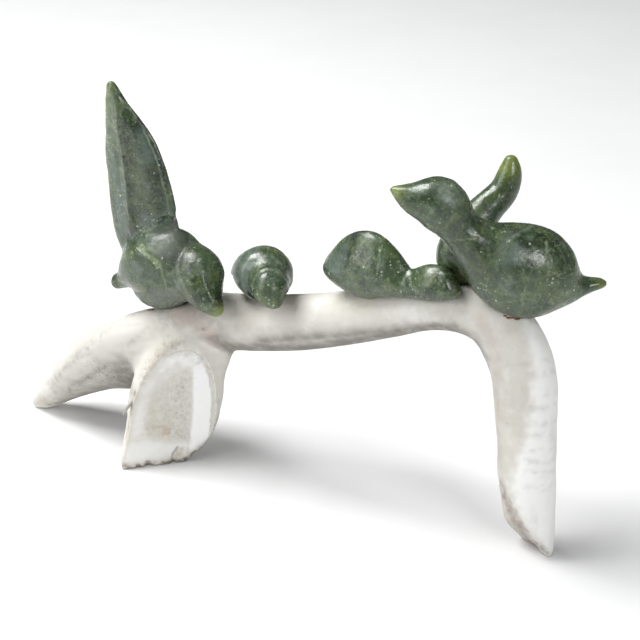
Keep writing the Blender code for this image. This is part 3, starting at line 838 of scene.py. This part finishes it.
def veins_effect():
    """Thin wandering lines that come and go: a mask."""
    inputs = (("Vector", VECTOR, None), ("Scale", FLOAT, 40.0), ("Width", FLOAT, 0.01),
              ("Cover", FLOAT, 0.5))
    group, nodes, given, wanted = effect("Veins", inputs, (("Mask", FLOAT),))
    field = nodes.add("ShaderNodeTexNoise", {"Vector": given["Vector"], "Scale": given["Scale"],
                                             "Detail": 3.0, "Distortion": 0.6}).outputs[0]
    off = nodes.math("ABSOLUTE", nodes.math("SUBTRACT", field, 0.5))
    line = nodes.math("SUBTRACT", 1.0, nodes.math("DIVIDE", off, given["Width"]), clamp=True)
    patches = nodes.noise(given["Vector"], 22.0, 2.0)
    shown = nodes.between(patches, 0.5, 0.62)
    masked = nodes.math("MULTIPLY", nodes.math("MULTIPLY", line, shown), given["Cover"])
    group.links.new(masked, wanted["Mask"])
    return group


def surface_effect():
    """Fine unevenness of a hand-finished surface: a height."""
    inputs = (("Vector", VECTOR, None), ("Scale", FLOAT, 600.0), ("Waves", FLOAT, 0.5))
    group, nodes, given, wanted = effect("Hand finish", inputs, (("Height", FLOAT),))
    fine = nodes.add("ShaderNodeTexNoise", {"Vector": given["Vector"], "Scale": given["Scale"],
                                            "Detail": 3.0}).outputs[0]
    waves = nodes.noise(given["Vector"], 90.0, 2.0)
    height = nodes.math("ADD", fine, nodes.math("MULTIPLY", waves, given["Waves"]))
    group.links.new(height, wanted["Height"])
    return group


def used(nodes, name, values):
    """Places a shared effect in a material."""
    node = nodes.add("ShaderNodeGroup")
    node.node_tree = bpy.data.node_groups[name]
    for socket, value in values.items():
        if isinstance(value, bpy.types.NodeSocket):
            nodes.tree.links.new(value, node.inputs[socket])
        else:
            node.inputs[socket].default_value = value
    return node.outputs[0]


def new_material(name):
    """A material with a bare Principled BSDF, its nodes' helper, the shader and Object coordinates."""
    made = bpy.data.materials.new(name)
    made.use_nodes = True
    shader = made.node_tree.nodes["Principled BSDF"]
    nodes = Nodes(made.node_tree)
    where = nodes.add("ShaderNodeTexCoord").outputs["Object"]
    return made, nodes, shader, where


def finish_surface(nodes, shader, colour, roughness, height, strength, distance):
    bump = nodes.add("ShaderNodeBump", {"Strength": strength, "Distance": distance, "Height": height})
    nodes.tree.links.new(colour, shader.inputs["Base Color"])
    nodes.tree.links.new(roughness, shader.inputs["Roughness"])
    nodes.tree.links.new(bump.outputs[0], shader.inputs["Normal"])
    shader.location = (220 * (nodes.count // 4 + 1), 0)
    output = nodes.tree.nodes["Material Output"]
    output.location = (220 * (nodes.count // 4 + 3), 0)


def green_stone(stone):
    """Polished dark green stone, clouded and specked, yellow where it is thin, with painted sheen,
    highlights and shade where the skins are marked.
    """
    made, nodes, shader, where = new_material("green_stone")
    clouds = nodes.noise(where, 42.0, 6.0, 0.62, 0.5)
    colour = nodes.mix(nodes.between(clouds, 0.38, 0.56), stone.deep, stone.body)
    mossy = nodes.noise(nodes.shifted(where, 7.7), 95.0, 6.0, 0.66, 0.4)
    yellowed = nodes.math("ADD", nodes.between(mossy, 0.49, 0.62, 0.0, 0.45),
                          nodes.math("MULTIPLY", nodes.attribute("moss"), 0.7), clamp=True)
    colour = nodes.mix(yellowed, colour, stone.moss)
    mottles = nodes.noise(nodes.shifted(where, 1.3), 190.0, 6.0, 0.70, 0.3)
    colour = nodes.mix(nodes.between(mottles, 0.50, 0.66, 0.0, 0.75), colour, stone.pale)
    dark = nodes.noise(nodes.shifted(where, 5.9), 150.0, 5.0, 0.65, 0.3)
    colour = nodes.mix(nodes.between(dark, 0.52, 0.65, 0.0, 0.55), colour, stone.deep)
    # The deep mark also paints shade along the large bird's chest.
    colour = nodes.mix(nodes.math("MULTIPLY", nodes.attribute("deep"), 0.6), colour, stone.deep)
    # Gray clouds of the stone, with painted sheen and highlights where the birds are marked.
    gray = nodes.noise(nodes.shifted(where, 3.1), 60.0, 4.0, 0.6, 0.2)
    haze_and_sheen_mask = nodes.math("ADD", nodes.between(gray, 0.54, 0.70, 0.0, 0.45),
                      nodes.math("MULTIPLY", nodes.attribute("haze"), 0.75), clamp=True)
    colour = nodes.mix(haze_and_sheen_mask, colour, stone.haze)
    fine = nodes.noise(where, 620.0, 4.0, 0.7)
    colour = nodes.mix(nodes.between(fine, 0.48, 0.72, 0.0, 0.45), colour, stone.pale)
    grains = nodes.noise(nodes.shifted(where, 6.3), 380.0, 5.0, 0.7)
    colour = nodes.mix(nodes.between(grains, 0.54, 0.68, 0.0, 0.60), colour, stone.deep)
    thin = nodes.attribute("thin")
    uneven = nodes.between(mossy, 0.35, 0.6, 0.45, 1.0)
    colour = nodes.mix(nodes.math("MULTIPLY", nodes.between(thin, 0.10, 0.90, 0.0, 0.90), uneven),
                       colour, stone.tip)
    speckled = nodes.between(nodes.noise(nodes.shifted(where, 9.4), 45.0, 2.0), 0.40, 0.62, 0.15, 1.0)
    specks = used(nodes, "Specks", {"Vector": where, "Scale": 300.0, "Size": 0.22, "Cover": 0.24})
    dots = used(nodes, "Specks", {"Vector": where, "Scale": 640.0, "Size": 0.30, "Cover": 0.24})
    chalk = nodes.math("MULTIPLY", nodes.math("MAXIMUM", specks, nodes.math("MULTIPLY", dots, 0.8)),
                       speckled)
    colour = nodes.mix(nodes.math("MULTIPLY", chalk, 0.75), colour, stone.chalk)
    veins = used(nodes, "Veins", {"Vector": where, "Scale": 55.0, "Width": 0.012, "Cover": 0.30})
    colour = nodes.mix(veins, colour, stone.chalk)
    # Unpolished stone, with painted sheen and highlights where the birds are marked; these get rougher
    # too.
    dull = nodes.attribute("dull")
    colour = nodes.mix(nodes.math("MULTIPLY", dull, 0.62), colour, stone.dull)
    bruise = nodes.attribute("bruise")
    broken = nodes.between(nodes.noise(where, 520.0, 3.0), 0.3, 0.6, 0.55, 1.0)
    colour = nodes.mix(nodes.math("MULTIPLY", bruise, broken), colour, stone.bruise)
    patchy = nodes.between(nodes.noise(nodes.shifted(where, 2.2), 55.0, 4.0), 0.35, 0.68, 0.20, 0.36)
    rough = nodes.math("ADD", patchy, nodes.between(grains, 0.40, 0.60, -0.05, 0.10))
    rough = nodes.math("ADD", rough, nodes.math("MULTIPLY", dull, 0.20))
    rough = nodes.math("ADD", rough, nodes.math("MULTIPLY", bruise, 0.4))
    rough = nodes.math("ADD", rough, nodes.math("MULTIPLY", chalk, 0.15), clamp=True)
    height = used(nodes, "Hand finish", {"Vector": where, "Scale": 480.0, "Waves": 3.0})
    finish_surface(nodes, shader, colour, rough, height, 0.35, 0.0006)
    shader.inputs["Specular IOR Level"].default_value = 0.65
    shader.inputs["Coat Weight"].default_value = 0.12
    shader.inputs["Coat Roughness"].default_value = 0.12
    return made


def pale_antler(antler):
    """Weathered antler with a dense white rim, a spongy core, stains, dark broken edges and painted shade
    on its undersides.
    """
    made, nodes, shader, where = new_material("antler")
    clouds = nodes.noise(where, 14.0, 5.0, 0.6, 0.3)
    colour = nodes.mix(nodes.between(clouds, 0.45, 0.72, 0.0, 0.22), antler.body, antler.shade)
    warm = nodes.noise(nodes.shifted(where, 4.4), 20.0, 4.0, 0.6)
    colour = nodes.mix(nodes.between(warm, 0.48, 0.72, 0.0, 0.11), colour, antler.stain)
    paler = nodes.noise(nodes.shifted(where, 8.1), 30.0, 5.0, 0.65)
    colour = nodes.mix(nodes.between(paler, 0.50, 0.70, 0.0, 0.35), colour, antler.white)
    white = nodes.attribute("white")
    colour = nodes.mix(nodes.math("MULTIPLY", white, 0.92), colour, antler.white)
    core = nodes.attribute("core")
    mottled = nodes.between(nodes.noise(where, 240.0, 5.0, 0.65), 0.35, 0.65, 0.35, 1.0)
    colour = nodes.mix(nodes.math("MULTIPLY", core, mottled), colour, antler.core)
    # Weathered streaks and bands, with painted shade on the undersides and the first bird's painted
    # shadow on the shoulder.
    smeared = nodes.between(nodes.noise(nodes.shifted(where, 6.0), 130.0, 5.0, 0.65), 0.35, 0.62,
                            0.35, 1.0)
    colour = nodes.mix(nodes.math("MULTIPLY", nodes.attribute("shade"), smeared), colour, antler.shade)
    rose = nodes.math("MULTIPLY", nodes.attribute("rose"),
                      nodes.between(nodes.noise(where, 90.0, 4.0), 0.32, 0.62, 0.4, 1.0))
    colour = nodes.mix(rose, colour, antler.rose)
    stain = nodes.math("MULTIPLY", nodes.attribute("stain"),
                       nodes.between(nodes.noise(where, 260.0, 5.0), 0.35, 0.60, 0.3, 1.0))
    colour = nodes.mix(stain, colour, antler.stain)
    flecks = used(nodes, "Specks", {"Vector": where, "Scale": 230.0, "Size": 0.13, "Cover": 0.16})
    colour = nodes.mix(nodes.math("MULTIPLY", flecks, 0.30), colour, antler.grime)
    colour = nodes.mix(nodes.math("MULTIPLY", nodes.attribute("pits"), 0.40), colour, antler.grime)
    peppered = nodes.math("MULTIPLY", nodes.attribute("pepper"),
                          nodes.between(nodes.noise(where, 620.0, 4.0, 0.6), 0.52, 0.62, 0.0, 0.50))
    colour = nodes.mix(peppered, colour, antler.grime)
    # Painted shade on the undersides, in the dark edge colour.
    below = nodes.math("MULTIPLY", nodes.attribute("under"),
                       nodes.between(nodes.noise(where, 120.0, 5.0), 0.30, 0.60, 0.40, 0.62))
    colour = nodes.mix(below, colour, antler.grime)
    grime = nodes.math("MULTIPLY", nodes.attribute("grime"),
                       nodes.between(nodes.noise(where, 330.0, 5.0), 0.30, 0.58, 0.30, 1.0))
    colour = nodes.mix(grime, colour, antler.grime)
    rough = nodes.math("SUBTRACT", 0.64, nodes.math("MULTIPLY", white, 0.12))
    rough = nodes.math("ADD", rough, nodes.math("MULTIPLY", core, 0.25), clamp=True)
    height = used(nodes, "Hand finish", {"Vector": where, "Scale": 380.0, "Waves": 1.2})
    finish_surface(nodes, shader, colour, rough, height, 0.45, 0.0005)
    shader.inputs["Specular IOR Level"].default_value = 0.35
    return made


def brown_glue():
    """Old reddish-brown glue."""
    made, nodes, shader, where = new_material("glue")
    blotches = nodes.between(nodes.noise(where, 650.0, 3.0), 0.35, 0.65)
    colour = nodes.mix(blotches, GLUE_DARK, GLUE_LIGHT)
    height = used(nodes, "Hand finish", {"Vector": where, "Scale": 900.0, "Waves": 1.0})
    rough = nodes.between(blotches, 0.0, 1.0, 0.3, 0.45)
    finish_surface(nodes, shader, colour, rough, height, 0.3, 0.0003)
    return made


def plain_floor(stage):
    """Matt floor with hardly any tooth."""
    made, nodes, shader, where = new_material("floor")
    tooth = nodes.noise(where, 8.0, 3.0)
    dimmer = [0.985 * value for value in stage.floor]
    colour = nodes.mix(nodes.between(tooth, 0.4, 0.6), stage.floor, dimmer)
    rough = nodes.between(tooth, 0.0, 1.0, 0.8, 0.9)
    finish_surface(nodes, shader, colour, rough, tooth, 0.02, 0.0001)
    return made


def settle(piece, node, material):
    """Gives the piece its material, sets it riding and lets it stand for its node."""
    piece.data.materials.append(material)
    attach(piece, BODY)
    if node:
        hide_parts(node)


def make_bird(node, stone, material):
    piece = fine_copy(node, node + "_stone", BIRD_GRAIN, BIRD_SOFTENING)
    skin = Skin(piece)
    mark_thin_stone(skin, stone.thin_below)
    for pixel, reach, amount in TIPS[node]:
        spot = seen_at(pixel, skin.tree)
        skin.mark("thin", amount * bell(np.linalg.norm(skin.points - spot, axis=1), reach * MM))
    skin.ragged = skin.clouds(1.7, 9.0)
    skin.push(0.28 * skin.clouds(13.0, 2.0) + 0.06 * skin.clouds(4.5, 7.0))
    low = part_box(node)[0].z
    under = smooth_step(-skin.normals[:, 2], 0.2, 0.8) * tent(skin.points[:, 2] - low, ROUGH_BELOW)
    skin.mark("dull", 0.6 * under)
    if BIRD_RELIEF[node]:
        BIRD_RELIEF[node](skin)
    skin.finish()
    settle(piece, node, material)
    return piece


def fused_beads(name, spots):
    """A bead of glue: flattened drops at some spots, melted into one."""
    drops = []
    for k, spot in enumerate(spots):
        bpy.ops.object.select_all(action="DESELECT")
        size = GLUE_DROP * (0.8 + 0.35 * (k % 2))
        bpy.ops.mesh.primitive_ico_sphere_add(subdivisions=3, radius=size, location=spot)
        bpy.ops.object.mode_set(mode="EDIT")
        bpy.ops.mesh.select_all(action="SELECT")
        bpy.ops.transform.resize(value=(1.8, 1.0, 0.7))
        bpy.ops.transform.vertex_random(offset=0.12 * size, seed=k)
        bpy.ops.object.mode_set(mode="OBJECT")
        drops.append(bpy.context.object)
    only(drops[0])
    for drop in drops:
        drop.select_set(True)
    bpy.ops.object.join()
    piece = bpy.context.object
    piece.name = name
    bpy.ops.object.transform_apply(location=True, rotation=True, scale=True)
    melt = piece.modifiers.new("Melt together", "REMESH")
    melt.mode = "VOXEL"
    melt.voxel_size = GLUE_GRAIN
    soften = piece.modifiers.new("Soften", "SMOOTH")
    soften.iterations = 4
    apply_modifiers(piece)
    bpy.ops.object.shade_smooth()
    return piece


class CARVING_OT_antler(bpy.types.Operator):
    """Makes the antler with its sawn face, broken feet and stains, and a splinter at its crotch"""

    bl_idname = "carving.antler"
    bl_label = "Antler"

    def execute(self, context):
        material = pale_antler(context.scene.carving_antler)
        piece = fine_copy("antler", "antler_skin", ANTLER_GRAIN, ANTLER_SOFTENING)
        skin = Skin(piece)
        relieve_antler(skin)
        skin.finish()
        settle(piece, "antler", material)
        root = Vector(seen_at(SPLINTER[0], skin.tree))
        right, up = camera_turn().col[0], camera_turn().col[1]
        per_pixel = (root - camera_place()).length / FOCAL_PIXELS
        joints = [root + ((x - SPLINTER[0][0]) * right - (y - SPLINTER[0][1]) * up) * per_pixel
                  for x, y in SPLINTER]
        sliver = splinter(joints)
        skin = Skin(sliver)
        skin.mark("shade", np.full(len(skin.points), SPLINTER_GRAY))
        skin.finish()
        settle(sliver, None, material)
        return {"FINISHED"}


def splinter(joints):
    """A bent sliver that tapers from its root to its point."""
    root, bend, point = joints
    bpy.ops.object.select_all(action="DESELECT")
    bpy.ops.mesh.primitive_cylinder_add(vertices=10, radius=SPLINTER_RADIUS, depth=(bend - root).length,
                                        location=(root + bend) / 2)
    piece = bpy.context.object
    piece.name = "splinter"
    piece.rotation_euler = (bend - root).to_track_quat("Z", "Y").to_euler()
    bpy.ops.object.transform_apply(location=True, rotation=True, scale=True)
    bpy.ops.object.mode_set(mode="EDIT")
    bpy.ops.mesh.select_mode(type="FACE")
    bpy.ops.mesh.select_all(action="DESELECT")
    bpy.ops.object.mode_set(mode="OBJECT")
    far = max(piece.data.polygons, key=lambda face: (face.center - root).length)
    far.select = True
    bpy.ops.object.mode_set(mode="EDIT")
    bpy.ops.mesh.extrude_region_move(TRANSFORM_OT_translate={"value": point - bend})
    bpy.ops.transform.resize(value=(0.25, 0.25, 0.25), center_override=point)
    bpy.ops.mesh.select_all(action="SELECT")
    bpy.ops.mesh.subdivide(number_cuts=2, smoothness=0.5)
    bpy.ops.transform.vertex_random(offset=0.12 * MM, seed=4)
    bpy.ops.object.mode_set(mode="OBJECT")
    bpy.ops.object.shade_smooth()
    return piece


class CARVING_OT_birds(bpy.types.Operator):
    """Makes the birds of polished stone"""

    bl_idname = "carving.birds"
    bl_label = "Stone birds"

    def execute(self, context):
        stone = context.scene.carving_stone
        material = green_stone(stone)
        for node in BIRD_RELIEF:
            make_bird(node, stone, material)
        return {"FINISHED"}


class CARVING_OT_glue(bpy.types.Operator):
    """Makes the glue that was squeezed out under two of the birds"""

    bl_idname = "carving.glue"
    bl_label = "Glue"

    def execute(self, context):
        tree = tree_of(bpy.data.objects["antler_skin"])
        material = brown_glue()
        for name, pixels in (("glue_left", GLUE_LEFT), ("glue_right", GLUE_RIGHT)):
            spots = [Vector(seen_at(pixel, tree)) for pixel in pixels]
            settle(fused_beads(name, spots), None, material)
        return {"FINISHED"}


class CARVING_OT_stage(bpy.types.Operator):
    """Makes the floor, the lights and the camera"""

    bl_idname = "carving.stage"
    bl_label = "Stage"

    def execute(self, context):
        stage = context.scene.carving_stage
        bpy.ops.object.select_all(action="DESELECT")
        bpy.ops.mesh.primitive_plane_add(size=FLOOR_WIDTH, location=(0, 0, 0))
        floor = bpy.context.object
        floor.name = "floor"
        floor.data.materials.append(plain_floor(stage))
        for name, place, size in SOFTBOXES:
            add_softbox(name, place, size, getattr(stage, name + "_power"))
        world = bpy.data.worlds.new("studio")
        world.use_nodes = True
        background = world.node_tree.nodes["Background"]
        background.inputs["Color"].default_value = SKY_COLOUR
        background.inputs["Strength"].default_value = stage.sky
        context.scene.world = world
        context.scene.view_settings.view_transform = "Standard"
        lens = bpy.data.cameras.new("camera")
        lens.sensor_width = SENSOR_WIDTH_MM
        lens.lens = SENSOR_WIDTH_MM * FOCAL_PIXELS / FRAME_PIXELS
        camera = bpy.data.objects.new("camera", lens)
        context.scene.collection.objects.link(camera)
        camera.location = camera_place()
        camera.rotation_euler = camera_turn().to_euler()
        context.scene.camera = camera
        return {"FINISHED"}


def add_softbox(name, place, size, power):
    """A square soft light that looks at the carving."""
    lamp = bpy.data.lights.new(name, "AREA")
    lamp.shape = "SQUARE"
    lamp.size = size
    lamp.energy = power
    light = bpy.data.objects.new(name, lamp)
    bpy.context.scene.collection.objects.link(light)
    light.location = place
    light.rotation_euler = (CAMERA_AIM - Vector(place)).to_track_quat("-Z", "Y").to_euler()
    return light


class CARVING_PT_pieces(bpy.types.Panel):
    """Lists what the carving is made of"""

    bl_idname = "CARVING_PT_pieces"
    bl_label = "Bird carving"
    bl_space_type = "VIEW_3D"
    bl_region_type = "UI"
    bl_category = "Carving"

    def draw(self, context):
        for operator in OPERATORS:
            self.layout.operator(operator.bl_idname)
        for settings in (context.scene.carving_stone, context.scene.carving_antler,
                         context.scene.carving_stage):
            box = self.layout.box()
            for name in settings.__annotations__:
                box.prop(settings, name)


OPERATORS = (CARVING_OT_antler, CARVING_OT_birds, CARVING_OT_glue, CARVING_OT_stage)
SETTINGS = (
    ("carving_stone", StoneSettings),
    ("carving_antler", AntlerSettings),
    ("carving_stage", StageSettings),
)


def register():
    for name, settings in SETTINGS:
        bpy.utils.register_class(settings)
        setattr(bpy.types.Scene, name, bpy.props.PointerProperty(type=settings))
    for operator in OPERATORS:
        bpy.utils.register_class(operator)
    bpy.utils.register_class(CARVING_PT_pieces)


def unregister():
    bpy.utils.unregister_class(CARVING_PT_pieces)
    for operator in reversed(OPERATORS):
        bpy.utils.unregister_class(operator)
    for name, settings in reversed(SETTINGS):
        delattr(bpy.types.Scene, name)
        bpy.utils.unregister_class(settings)


def main():
    register()
    specks_effect()
    veins_effect()
    surface_effect()
    bpy.ops.carving.antler()
    bpy.ops.carving.birds()
    bpy.ops.carving.glue()
    bpy.ops.carving.stage()


if __name__ == "__main__":
    main()
